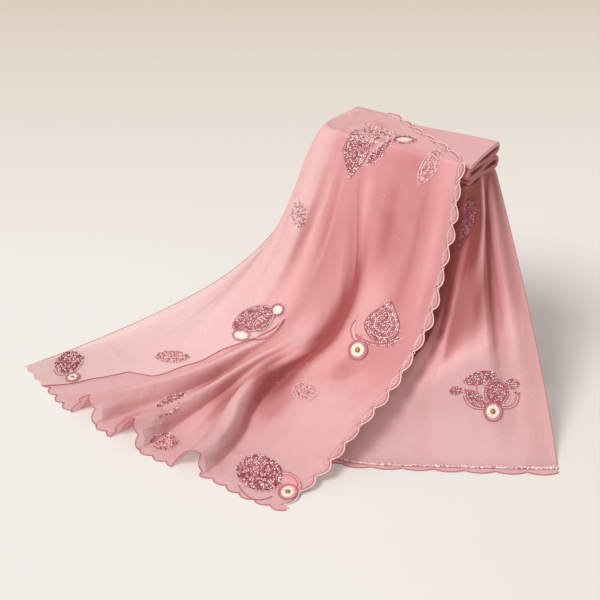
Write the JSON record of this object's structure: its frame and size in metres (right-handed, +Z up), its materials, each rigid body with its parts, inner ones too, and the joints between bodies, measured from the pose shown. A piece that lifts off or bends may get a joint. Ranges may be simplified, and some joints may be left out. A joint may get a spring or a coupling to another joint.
{
  "type": "silk sari",
  "caption": "Sheer rose silk sari with beaded paisleys and scalloped edges, its body folded in a long bundle and its ends fanned down to the floor.",
  "frame": {"origin": "centre of the footprint at floor level", "axes": "+X towards the foot of the right fall, along the longest extent; +Z up; -Y towards the front hem"},
  "size_m": [1.0298, 0.7356, 0.5242],
  "materials": {
    "silk": "sheer rose silk organza with a soft sheen",
    "body_silk": "plain rose silk, folded",
    "border": "scalloped edge bound with pale corded thread",
    "beads": "embroidery of small silver and rose beads",
    "thread": "raised rose thread and beads",
    "padding": "white padded disc in a rose ring"
  },
  "bodies": {
    "root": {"front_fall": "silk", "front_under_layer": "silk", "left_flap": "silk", "front_hem_border": "border", "front_side_border": "border", "folded_bundle": "body_silk", "right_fall": "silk", "right_fold_under": "body_silk", "right_hem_border": "border", "back_fall": "body_silk", "paisley_1": "beads", "paisley_2": "beads", "paisley_3": "beads", "paisley_4": "beads", "paisley_5": "beads", "paisley_6": "beads", "paisley_7": "beads", "leaf_1": "thread", "leaf_2": "thread", "leaf_3": "thread", "leaf_4": "thread", "leaf_5": "thread", "leaf_6": "thread", "disc_1": "padding", "disc_2": "padding", "disc_3": "padding", "disc_4": "padding"}
  },
  "joints": []
}
